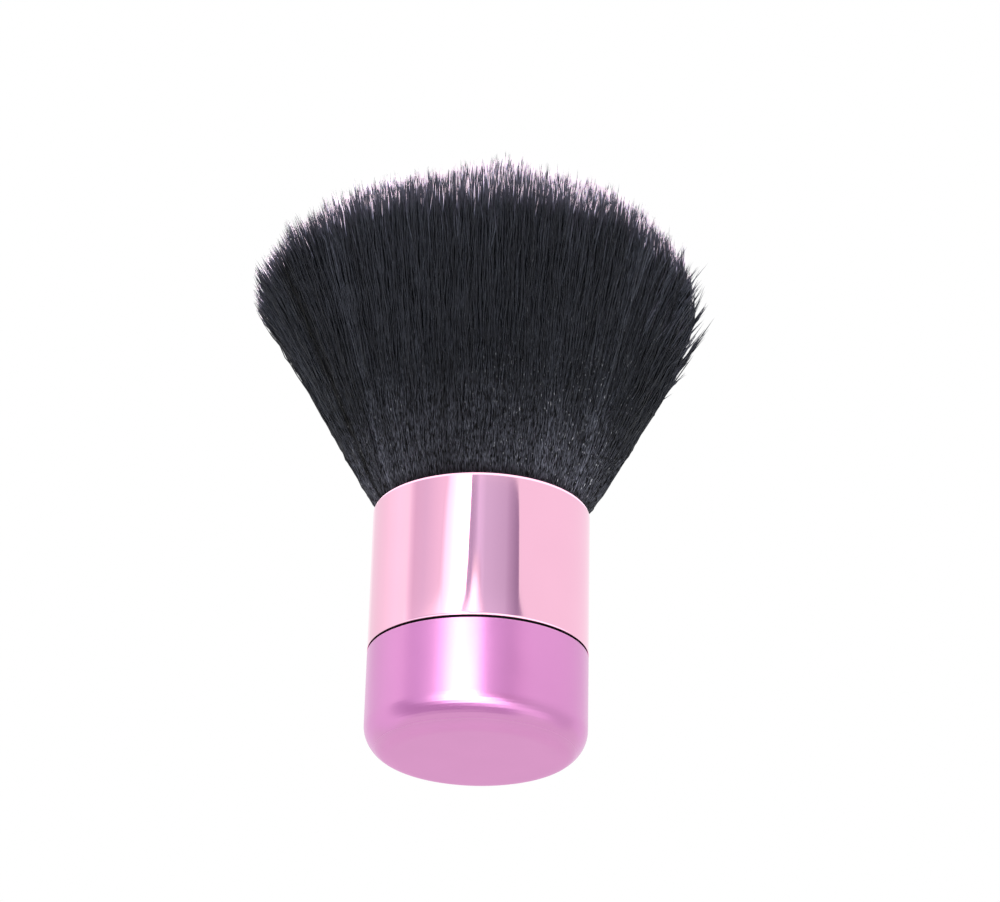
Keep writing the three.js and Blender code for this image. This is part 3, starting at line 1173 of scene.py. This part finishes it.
        facts = np.repeat(self.strand_facts(strands, rng, shared)[:, None, :], len(single), axis=1)
        # Painted light on filaments that lie deeper, against the shade between them.
        facts[..., 0] += self.depth_light * deep
        self.map_strands(piece, single, along, rng.random(count), facts)
        piece.data.update()
        return piece

    def strand_facts(self, strands: Strands, rng: Generator, shared: Generator) -> ndarray:
        """Sets what the finish has to know of each filament.

        Args:
            strands: the filaments.
            rng: the bundle's own random numbers.
            shared: the random numbers that all bundles draw alike.

        Returns:
            Each filament's shade, with painted light and shade in it, the painted light it catches and its
            pale length.
        """
        pale = self.pale_lengths(strands, rng)
        loose = (1.0 - self.clump_shade) / 2.0
        shade = self.clump_shade * strands.mark
        for light, side in zip(self.side_light, strands.sides()):
            shade = shade + loose * rng.random(len(pale)) + light * side
        shade += self.lock_light_and_shade(strands.angle, shared)
        return np.stack([shade, self.catch(strands.angle, shared), pale], 1)

    def map_strands(
        self, piece: Object, single: ndarray, along: ndarray, own: ndarray, facts: ndarray
    ) -> None:
        """Gives a bundle its map, U by strand and V from root to tip, and its strands' facts.

        Args:
            piece: the bundle's object.
            single: one copy's vertices.
            along: how far along the filament each of those vertices lies.
            own: each strand's own random number, which is its place in U.
            facts: each vertex's shade, painted light and shade included, the painted light it catches and
                its strand's pale length.
        """
        mesh = piece.data
        loops = np.zeros(len(mesh.loops), np.int32)
        mesh.loops.foreach_get("vertex_index", loops)
        strand_of, vertex_of = np.divmod(loops, len(single))
        turn = np.arctan2(single[:, 1], single[:, 0]) / FULL_TURN % 1.0
        u = own[strand_of] * (1.0 - self.map_width) + self.map_width * turn[vertex_of]
        layer = mesh.uv_layers.new(name=STRAND_MAP)
        layer.data.foreach_set("uv", np.stack([u, along[vertex_of]], 1).astype(np.float32).ravel())
        attribute = mesh.attributes.new(STRAND_FACTS, "FLOAT_VECTOR", "POINT")
        attribute.data.foreach_set("vector", facts.astype(np.float32).ravel())

    def build_mass(self) -> Object:
        """Turns the dark mass of filaments behind those that are modelled.

        Returns:
            A closed flare that stops short of the sides and of the tips.
        """
        foot = self.mouth_radius * self.mass_foot
        corners = [
            Corner(0.0, self.mouth - self.inside),
            Corner(foot, self.mouth - self.inside),
            Corner(foot, self.mouth),
        ]
        spread = self.mouth_radius + self.mass_width * (self.shoulder_radius - self.mouth_radius)
        for share in self.mass_steps:
            height = self.mouth + self.mass_height * float(self.dome(np.array(share)))
            corners.append(Corner(share * spread, height))
        return turned("tuft_mass", corners, closed=False, arc=1, steps=self.mass_sides)

    def dress(self, pieces: list[Object], mass: Object) -> None:
        """Gives the filaments their finish and sets them in place of the solid strands.

        Args:
            pieces: the bundles' objects, in order.
            mass: the dark mass behind them.
        """
        nylon = NylonFilament().material()
        for bundle, piece in zip(self.bundles, pieces):
            piece.data.materials.append(nylon)
            place(piece, "bristles", *([bundle.node] if bundle.node else []))
        mass.data.materials.append(PACKED_NYLON.material())
        place(mass, "bristles")


# ---- Studio ----


class Reading(Enum):
    """What a card's rows count: heights on the handle's wall, or angles above the horizon."""

    HEIGHTS = "millimetres above the base"
    ANGLES = "degrees, as the base cap's rounded edge mirrors them"


class Spread(Enum):
    """Where a card's tones lie: at places round the wall, or at shares of the card's own width."""

    WALL = "millimetres round the wall"
    WIDTH = "shares of the width"


@dataclass(frozen=True)
class Tone:
    """A card's light at one place across it: its level, where 1 is white, and its tint."""

    across: float
    level: float
    tint: str = "ffffff"


@dataclass(frozen=True)
class Row:
    """A line across a card: where it is, its left and right ends, and its share of the light."""

    at: float
    left: float
    right: float
    level: float = 1.0


@dataclass(frozen=True)
class Card:
    """A card or a light that only reflections see.

    It is laid out where the handle mirrors it to the camera. A row's ends are millimetres round
    the wall, and 0 is the side that faces the camera. Its tones run from left to right.
    """

    name: str
    distance: float
    rows: tuple[Row, ...]
    tones: tuple[Tone, ...]
    reading: Reading = Reading.HEIGHTS
    spread: Spread = Spread.WALL

    def ends(self) -> tuple[float, float]:
        """The places of the card's outermost ends round the wall."""
        return min(row.left for row in self.rows), max(row.right for row in self.rows)


@dataclass(frozen=True)
class Lamp:
    """A soft square lamp that points at the brush and that reflections don't see."""

    name: str
    place: tuple[float, float, float]
    size: float
    watts: float


@dataclass(frozen=True)
class Glow(Finish):
    """Plain even light of one tint."""

    level: float
    tint: str = "ffffff"

    def shader(self, tree: NodeTree) -> NodeSocket:
        """Adds light that is the same everywhere."""
        return add_node(tree, "Emission", (linear(self.tint), self.level))[0]


@dataclass(frozen=True)
class CardGlow(Finish):
    """A card's light: its tones along U of its map, and its rows' share of it in V."""

    card: Card

    def shader(self, tree: NodeTree) -> NodeSocket:
        """Adds light that runs through the card's tones.

        Args:
            tree: the node tree that gets it.

        Returns:
            The shader's output.
        """
        low, high = self.card.ends() if self.card.spread is Spread.WALL else (0.0, 1.0)
        peak = max(tone.level for tone in self.card.tones)
        stops = [
            ((tone.across - low) / (high - low), linear(tone.tint, tone.level / peak))
            for tone in self.card.tones
        ]
        spot = add_node(tree, "UVMap", uv_map=TONE_MAP)[0]
        across, level = add_node(tree, "SeparateXYZ", (spot,))[:2]
        strength = add_node(tree, "Math", (level, peak), operation="MULTIPLY")[0]
        colour = add_node(tree, "ValToRGB", (across,), stops)[0]
        return add_node(tree, "Emission", (colour, strength))[0]


@dataclass(frozen=True)
class PaperSweep(Finish):
    """White paper that only a camera above it sees, and that fades into the white behind it."""

    name: str = "white paper sweep"
    colour: str = "f8f8f8"
    fade: tuple[float, float] = (0.12, 0.7)

    def shader(self, tree: NodeTree) -> NodeSocket:
        """Adds matt paper, mixed with clear air where it fades or isn't looked at from above.

        Args:
            tree: the node tree that gets it.

        Returns:
            The shader's output.
        """
        back = add_node(tree, "NewGeometry")["Backfacing"]
        spot = add_node(tree, "TexCoord")["Object"]
        away = add_node(tree, "VectorMath", (spot,), operation="LENGTH")["Value"]
        span = (away, *self.fade, 1.0, 0.0)
        near = add_node(tree, "MapRange", span, interpolation_type="SMOOTHSTEP")[0]
        front = add_node(tree, "Math", (1.0, back), operation="SUBTRACT")[0]
        share = add_node(tree, "LightPath")["Is Camera Ray"]
        for factor in (front, near):
            share = add_node(tree, "Math", (share, factor), operation="MULTIPLY")[0]
        paper = add_node(tree, "BsdfDiffuse", (linear(self.colour),))[0]
        clear = add_node(tree, "BsdfTransparent")[0]
        return add_node(tree, "MixShader", (share, clear, paper))[0]


CARDS = (
    Card(
        "left_wall",
        0.66,
        (Row(60.0, -20.0, -9.9), Row(11.0, -20.0, -9.9)),
        (
            Tone(-20.0, 0.94), Tone(-17.2, 0.95), Tone(-15.5, 1.0), Tone(-14.0, 1.08), Tone(-12.5, 1.15),
            Tone(-9.9, 1.18, "fffffa"),
        ),
    ),
    Card(
        "left_wall_low",
        0.66,
        (Row(22.0, -16.5, -9.9), Row(-38.0, -16.5, -9.9)),
        (Tone(-16.5, 0.98), Tone(-14.0, 1.08), Tone(-9.9, 1.15)),
        Reading.ANGLES,
    ),
    Card(
        "left_shade",
        0.65,
        (
            Row(60.0, -10.9, -4.9), Row(18.0, -10.9, -4.9), Row(15.0, -10.9, -4.9, 1.07),
            Row(11.0, -10.9, -4.9, 1.08),
        ),
        (
            Tone(-10.9, 1.17, "fffffa"), Tone(-10.6, 1.12), Tone(-10.0, 0.95, "fdf8ff"),
            Tone(-9.4, 0.83, "fcf3ff"), Tone(-7.8, 0.87, "f8f3ff"), Tone(-5.3, 1.0, "fff9ff"),
        ),
    ),
    Card(
        "left_shade_low",
        0.65,
        (Row(22.0, -10.9, -5.3), Row(-12.0, -10.9, -5.3)),
        (
            Tone(-10.9, 1.15), Tone(-10.0, 0.93, "fdf6ff"), Tone(-9.0, 0.88, "fcf3ff"),
            Tone(-7.8, 0.94, "f8f3ff"), Tone(-5.3, 1.1, "fff9ff"),
        ),
        Reading.ANGLES,
    ),
    Card(
        "window",
        0.63,
        (
            Row(60.0, -4.9, -1.44), Row(34.0, -4.9, -1.44), Row(31.4, -5.2, -1.48),
            Row(27.0, -5.35, -1.57), Row(25.0, -5.42, -1.64), Row(23.4, -5.44, -1.62),
            Row(22.5, -5.46, -1.66), Row(21.7, -5.48, -1.75), Row(19.0, -5.54, -1.8),
            Row(18.2, -5.58, -1.87), Row(17.3, -5.64, -2.05), Row(15.6, -6.0, -2.35),
            Row(11.0, -6.3, -3.2),
        ),
        (
            Tone(0.0, 0.93, "fffbff"), Tone(0.08, 1.08, "fffbff"), Tone(0.19, 1.42), Tone(0.32, 1.64),
            Tone(0.46, 1.92), Tone(0.7, 3.2), Tone(1.0, 3.6),
        ),
        spread=Spread.WIDTH,
    ),
    Card(
        "window_flare",
        0.625,
        (Row(17.8, -5.6, -5.2), Row(16.6, -6.9, -5.2), Row(15.7, -8.0, -5.2), Row(11.0, -10.0, -5.2)),
        (
            Tone(0.0, 0.95, "fbf4ff"), Tone(0.33, 1.03, "fffaff"), Tone(0.65, 1.2), Tone(0.85, 1.42),
            Tone(1.0, 1.6),
        ),
        spread=Spread.WIDTH,
    ),
    Card(
        "window_low",
        0.62,
        (
            Row(22.0, -5.8, 0.25), Row(12.0, -5.9, 0.25), Row(0.0, -6.5, 0.2), Row(-10.0, -6.2, 0.2),
            Row(-30.0, -6.2, 0.2),
        ),
        (Tone(0.0, 1.1), Tone(0.19, 2.0), Tone(0.39, 4.6), Tone(0.53, 5.6), Tone(1.0, 5.6)),
        Reading.ANGLES,
        Spread.WIDTH,
    ),
    Card(
        "wedge_glow",
        0.615,
        (Row(23.2, -0.95, -0.05, 0.92), Row(20.4, -1.13, 0.15)),
        (Tone(0.0, 0.82, "f4f2ff"), Tone(0.3, 0.96), Tone(0.8, 0.96, "f8f4ff"), Tone(1.0, 0.88, "f0f0ff")),
        spread=Spread.WIDTH,
    ),
    Card(
        "wedge",
        0.61,
        (
            Row(20.5, -1.1, 0.05, 0.48), Row(19.9, -1.1, 0.12, 0.72), Row(19.1, -1.12, 0.15, 0.82),
            Row(18.2, -1.2, 0.15), Row(17.3, -1.3, 0.2), Row(16.5, -1.5, 0.35), Row(15.6, -1.8, 0.7),
            Row(11.0, -3.1, 1.3),
        ),
        (
            Tone(0.0, 1.35), Tone(0.25, 2.1), Tone(0.5, 2.0), Tone(0.72, 1.4), Tone(0.9, 1.02, "f8f4ff"),
            Tone(1.0, 0.9, "f4f2ff"),
        ),
        spread=Spread.WIDTH,
    ),
    Card(
        "dim_room",
        0.64,
        (
            Row(35.25, -1.6, 3.3, 0.97), Row(34.9, -1.6, 4.1, 0.97), Row(34.3, -1.6, 4.5, 0.97),
            Row(33.2, -1.6, 4.85), Row(31.0, -1.6, 5.03), Row(27.0, -1.9, 5.12), Row(18.2, -2.1, 5.26),
            Row(17.0, -2.3, 5.42, 1.04), Row(15.6, -2.6, 5.7, 1.09), Row(11.0, -4.0, 6.9, 1.12),
        ),
        (
            Tone(-3.2, 0.66, "e6e6ff"), Tone(-1.3, 0.66, "e6e2fa"), Tone(-0.8, 0.75, "e8e8fd"),
            Tone(-0.35, 1.02, "ebefff"), Tone(0.1, 0.96, "ebefff"), Tone(0.6, 0.85, "ebefff"),
            Tone(1.4, 0.82, "ebeeff"), Tone(3.3, 0.73, "ebecff"), Tone(3.9, 0.60, "ece6ff"),
            Tone(4.9, 0.44, "eadfff"), Tone(6.1, 0.42, "eadfff"),
        ),
    ),
    Card(
        "dim_low",
        0.64,
        (
            Row(22.0, 0.1, 7.4, 1.02), Row(14.0, 0.1, 7.4, 0.96), Row(8.0, 0.1, 15.0, 0.88),
            Row(-2.0, 0.1, 15.0, 0.78), Row(-14.0, 0.1, 15.0, 0.75), Row(-32.0, 3.0, 15.0, 0.85),
        ),
        (
            Tone(0.1, 0.9, "fff0fc"), Tone(2.4, 0.77, "ffeefb"), Tone(3.8, 0.71, "ffeefb"),
            Tone(4.6, 0.8, "fff0fc"), Tone(5.4, 0.93, "fff2fc"), Tone(7.4, 1.06), Tone(9.5, 1.1),
            Tone(15.0, 1.07),
        ),
        Reading.ANGLES,
    ),
    Card(
        "sill",
        0.60,
        (
            Row(-1.0, 0.1, 1.1), Row(-6.5, 0.1, 2.5), Row(-10.0, 0.1, 3.8), Row(-15.0, 0.1, 5.2),
            Row(-18.0, 0.1, 8.1), Row(-20.5, 0.1, 11.0), Row(-24.5, 1.1, 11.0), Row(-30.0, 3.8, 11.0),
            Row(-36.0, 6.7, 11.0),
        ),
        (
            Tone(0.1, 4.9), Tone(1.1, 4.3), Tone(2.5, 3.4), Tone(3.8, 2.0), Tone(5.2, 1.35),
            Tone(8.1, 1.25), Tone(11.0, 1.15),
        ),
        Reading.ANGLES,
    ),
    Card(
        "dark_strip",
        0.59,
        (
            Row(12.0, -12.0, -10.0), Row(0.0, -12.4, -9.0), Row(-10.0, -12.4, -7.8),
            Row(-13.5, -12.4, -5.2), Row(-18.5, -12.4, -2.2), Row(-24.5, -12.0, 1.1),
            Row(-30.0, -11.5, 3.8), Row(-36.0, -10.8, 6.7), Row(-43.0, -8.0, 7.2), Row(-50.0, -4.8, 7.2),
            Row(-53.5, -1.0, 7.2), Row(-55.0, 2.5, 7.2),
        ),
        (
            Tone(-12.4, 0.97), Tone(-11.2, 0.8, "fdf2ff"), Tone(-10.0, 0.66, "fbe8ff"),
            Tone(-6.0, 0.62, "fbe8ff"), Tone(3.8, 0.58, "fbe8ff"), Tone(5.2, 0.64, "fbe8ff"),
            Tone(7.2, 0.86),
        ),
        Reading.ANGLES,
    ),
)


@dataclass
class Studio:
    """A plain pale floor under plain soft light, with cards for the polished metal to mirror."""

    camera: Object
    handle_radius: float
    card_columns: int = 24
    card_lines: int = 4
    ceiling: Glow = Glow("ceiling_light", 1.8)
    ceiling_angles: tuple[float, float] = (29.0, 62.0)
    ceiling_distance: float = 0.7
    ceiling_steps: int = 48
    paper: Glow = Glow("paper_below", 1.01, "f8fff4")
    paper_depth: float = 1.2
    lamps: tuple[Lamp, ...] = (
        Lamp("key", (-0.7, -0.9, 0.9), 0.8, 6.0),
        Lamp("fill", (0.9, -0.7, 0.5), 0.8, 3.5),
        Lamp("back", (0.1, 0.9, 0.8), 0.8, 3.5),
    )
    world_level: float = 0.68
    floor_size: float = 6.0
    floor_gap: float = 0.05 * MM

    def mirrored(self, card: Card, across: float, at: float) -> Vector:
        """Follows the view of a place on the handle, once mirrored there, as far as a card.

        Args:
            card: the card, on an upright cylinder round the brush.
            across: millimetres round the wall from the side that faces the camera.
            at: what the card's rows count.

        Returns:
            Where the mirrored ray ends.
        """
        angled = card.reading is Reading.ANGLES
        turn = across * MM / self.handle_radius
        normal = Vector((math.sin(turn), -math.cos(turn), 0.0))
        spot = normal * self.handle_radius + Vector((0.0, 0.0, 0.0 if angled else at * MM))
        view = (self.camera.matrix_world.translation - spot).normalized()
        ray = 2.0 * view.dot(normal) * normal - view
        if angled:
            ray.z = math.hypot(ray.x, ray.y) * math.tan(math.radians(at))
        flat = ray.x**2 + ray.y**2
        half = spot.x * ray.x + spot.y * ray.y
        run = (math.sqrt(half**2 + flat * (card.distance**2 - self.handle_radius**2)) - half) / flat
        return spot + ray * run

    def hang(self, bm: BMesh, glow: Finish) -> None:
        """Makes a glowing sheet that only reflections see, and that keeps no light off the brush.

        Args:
            bm: the sheet's form.
            glow: its light, whose name it takes.
        """
        sheet = object_from(glow.name, bm)
        sheet.data.materials.append(glow.material())
        sheet.visible_camera = False
        sheet.visible_diffuse = False
        sheet.visible_shadow = False

    def build_card(self, card: Card) -> None:
        """Makes a card from a grid whose corners are put where the handle mirrors them.

        Args:
            card: the card.
        """
        low, high = card.ends()
        spans = len(card.rows) - 1
        lines = self.card_lines * spans
        at, left, right, level = (
            np.interp(np.linspace(0.0, spans, lines + 1), np.arange(spans + 1), values)
            for values in zip(*((row.at, row.left, row.right, row.level) for row in card.rows))
        )
        bm = bmesh.new()
        layer = bm.loops.layers.uv.new(TONE_MAP)
        bmesh.ops.create_grid(bm, x_segments=self.card_columns, y_segments=lines, size=0.5)
        tone_of = {}
        for vert in bm.verts:
            share = vert.co.x + 0.5
            line = round((vert.co.y + 0.5) * lines)
            across = float(left[line] + share * (right[line] - left[line]))
            spot = share if card.spread is Spread.WIDTH else (across - low) / (high - low)
            tone_of[vert] = (spot, float(level[line]))
            vert.co = self.mirrored(card, across, float(at[line]))
        for face in bm.faces:
            for loop in face.loops:
                loop[layer].uv = tone_of[loop.vert]
        self.hang(bm, CardGlow(card.name, card))

    def build_ceiling(self) -> None:
        """Makes a broad light like a lampshade above, which only rims and rounded edges mirror."""
        bm = bmesh.new()
        heights = (self.ceiling_distance * math.tan(math.radians(a)) for a in self.ceiling_angles)
        bm.edges.new([bm.verts.new((0.0, -self.ceiling_distance, height)) for height in heights])
        spin_round(bm, self.ceiling_steps)
        self.hang(bm, self.ceiling)

    def level_sheet(self, segments: int, size: float, depth: float) -> BMesh:
        """Makes a level square sheet.

        Args:
            segments: its spans along each side.
            size: half the length of a side.
            depth: how far it lies under the base.

        Returns:
            The sheet.
        """
        bm = bmesh.new()
        bmesh.ops.create_grid(bm, x_segments=segments, y_segments=segments, size=size)
        bmesh.ops.translate(bm, verts=bm.verts[:], vec=(0.0, 0.0, -depth))
        return bm

    def build_paper(self) -> None:
        """Makes the paper below, a little darker than the white around, for the base to mirror."""
        self.hang(self.level_sheet(1, self.floor_size, self.paper_depth), self.paper)

    def build_floor(self) -> None:
        """Makes the floor just under the base, which only a camera above it sees."""
        floor = object_from("floor", self.level_sheet(2, self.floor_size / 2.0, self.floor_gap))
        floor.data.materials.append(PaperSweep().material())

    def build_lamp(self, lamp: Lamp) -> None:
        """Makes a lamp that points at the middle of the brush.

        Args:
            lamp: the lamp.
        """
        light = bpy.data.lights.new(lamp.name, "AREA")
        light.size = lamp.size
        light.energy = lamp.watts
        holder = add_object(lamp.name, light)
        holder.location = lamp.place
        aim = Vector((0.0, 0.0, (cad_low.z + cad_high.z) / 2.0)) - holder.location
        holder.rotation_euler = aim.to_track_quat("-Z", "Y").to_euler()
        holder.visible_glossy = False

    def build_world(self) -> None:
        """Makes the world: white to the camera and in reflections, and a softer light elsewhere."""
        world = bpy.data.worlds.new("studio")
        tree = empty_tree(world)
        path = add_node(tree, "LightPath")
        seen = path["Is Camera Ray"]
        for kind in ("Is Glossy Ray", "Is Transmission Ray"):
            seen = add_node(tree, "Math", (seen, path[kind]), operation="MAXIMUM")[0]
        level = add_node(tree, "MapRange", (seen, 0.0, 1.0, self.world_level, 1.0))[0]
        sky = add_node(tree, "Background", (linear("ffffff"), level))[0]
        add_node(tree, "OutputWorld", (sky,))
        bpy.context.scene.world = world

    def build(self) -> None:
        """Makes the floor, the cards, the lamps and the world."""
        self.build_floor()
        self.build_paper()
        self.build_ceiling()
        for card in CARDS:
            self.build_card(card)
        for lamp in self.lamps:
            self.build_lamp(lamp)
        self.build_world()


# ---- Assembly ----


def main() -> None:
    """Builds the camera, the brush and the studio."""
    logging.basicConfig(level=logging.INFO, format="%(name)s: %(message)s")
    bpy.context.scene.view_settings.view_transform = "Standard"
    camera = PhotoCamera().build()
    handle = Handle()
    cap = handle.build_cap()
    ferrule = handle.build_ferrule()
    handle.dress(cap, ferrule)
    tuft = Tuft()
    mass = tuft.build_mass()
    pieces = [tuft.build_bundle(bundle) for bundle in tuft.bundles]
    tuft.dress(pieces, mass)
    for piece in (cap, ferrule, mass, *pieces):
        log.info("%s: %d faces", piece.name, len(piece.data.polygons))
    Studio(camera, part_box("ferrule")[1].x).build()


if __name__ == "__main__":
    main()
